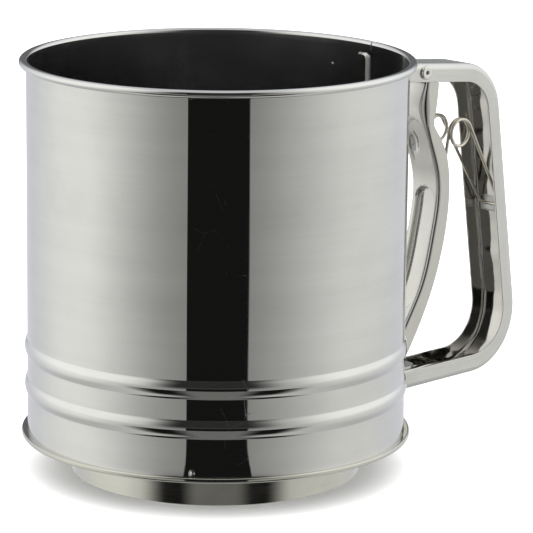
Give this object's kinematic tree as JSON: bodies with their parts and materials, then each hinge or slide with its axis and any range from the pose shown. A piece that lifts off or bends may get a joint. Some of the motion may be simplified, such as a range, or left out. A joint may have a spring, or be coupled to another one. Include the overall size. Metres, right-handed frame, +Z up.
{
  "type": "flour sifter",
  "caption": "Squeeze-handle flour sifter: steel cup with a mesh bottom, foot collar, channel handle, sprung trigger and an agitator that it swings over the mesh.",
  "frame": {"origin": "on the cup's axis, in the plane that the foot collar stands on", "axes": "+Z up the cup's axis, +X from the cup's axis towards the handle"},
  "size_m": [0.205, 0.13, 0.1379],
  "materials": {
    "cup_steel": "polished with a faint brushed haze",
    "base_steel": "satin",
    "mesh_wire": "drawn wire",
    "bare_steel": "plain pressed sheet",
    "blade_steel": "plain pressed sheet",
    "rivet_steel": "headed, bright",
    "handle_steel": "satin outside, bright inside",
    "trigger_steel": "bright pressed sheet",
    "spring_wire": "drawn wire, slightly straw-coloured"
  },
  "bodies": {
    "sifter": {"cup_body": "cup_steel", "base_ring": "base_steel", "mesh_screen": "mesh_wire", "screen_rim": "bare_steel", "screen_hoop": "bare_steel", "mesh_washer_upper": "bare_steel", "mesh_washer_lower": "bare_steel", "centre_rivet": "rivet_steel", "slot_guard": "bare_steel", "handle": "handle_steel", "pivot_rivet": "rivet_steel", "torsion_spring": "spring_wire"},
    "trigger": {"trigger_lever": "trigger_steel", "pivot_bush": "bare_steel"},
    "agitator": {"rotor_hub": "bare_steel", "agitator_blade_lower": "blade_steel", "agitator_blade_upper": "blade_steel", "hub_spacer": "bare_steel", "crank_arm": "blade_steel", "crank_rivet": "rivet_steel", "crank_washer": "bare_steel"},
    "link": {"link_bar": "blade_steel"}
  },
  "joints": [
    {"name": "trigger_pull", "type": "hinge", "parent": "sifter", "child": "trigger", "pos_m": [0.0907, 0, 0.1239], "axis": [0, -1, 0], "range_deg": [0, 12], "stiffness_Nm_per_rad": 2, "springref_deg": -17.19, "deforming": ["torsion_spring"]},
    {"name": "agitator_turn", "type": "hinge", "parent": "sifter", "child": "agitator", "pos_m": [0, 0, 0.0135], "axis": [0, 0, -1], "range_deg": [0, 43]},
    {"name": "link_swing", "type": "hinge", "parent": "agitator", "child": "link", "pos_m": [-0.01098, 0.02792, 0.0196], "axis": [0, 0, 1], "range_deg": [0, 43]}
  ],
  "couplings": [
    {"joint": "agitator_turn", "follows": "trigger_pull", "ratio": 3.5788},
    {"joint": "link_swing", "follows": "trigger_pull", "ratio": 3.5788}
  ]
}
